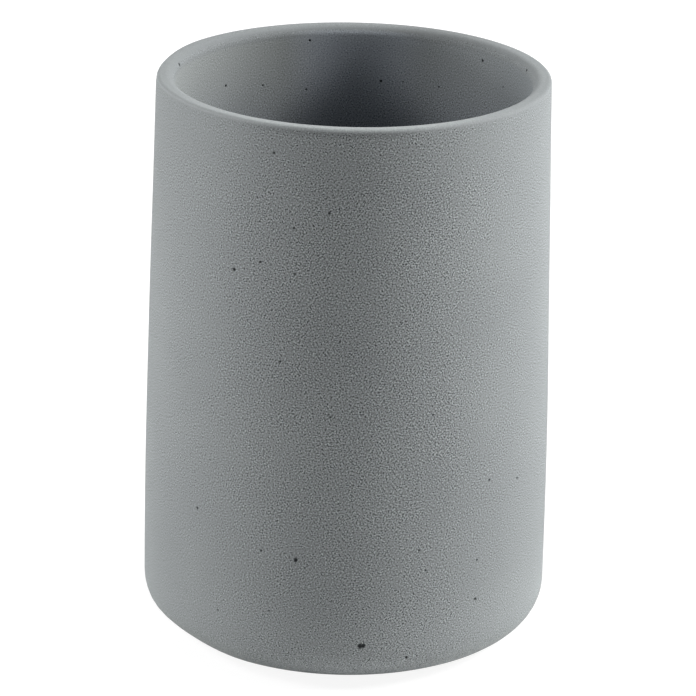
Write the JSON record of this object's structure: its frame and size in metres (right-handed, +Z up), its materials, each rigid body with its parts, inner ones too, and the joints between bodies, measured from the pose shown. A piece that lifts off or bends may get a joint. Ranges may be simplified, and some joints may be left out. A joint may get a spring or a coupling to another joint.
{
  "type": "bathroom tumbler",
  "caption": "Bathroom tumbler cast in matte grey cement, gently tapered to a rounded rim, with a rounded base edge and a recessed non-slip foot pad.",
  "frame": {"origin": "centre of the foot pad's lower face, which is the face that the tumbler stands on", "axes": "+Z up along the tumbler's axis of revolution, from the foot to the mouth; X and Y are equal"},
  "size_m": [0.08, 0.08, 0.1118],
  "materials": {
    "cement": "matte",
    "adhesive_film": "satin",
    "pad_rubber": "matte"
  },
  "bodies": {
    "root": {"tumbler_body": "cement", "pad_adhesive": "adhesive_film", "base_pad": "pad_rubber"}
  },
  "joints": []
}
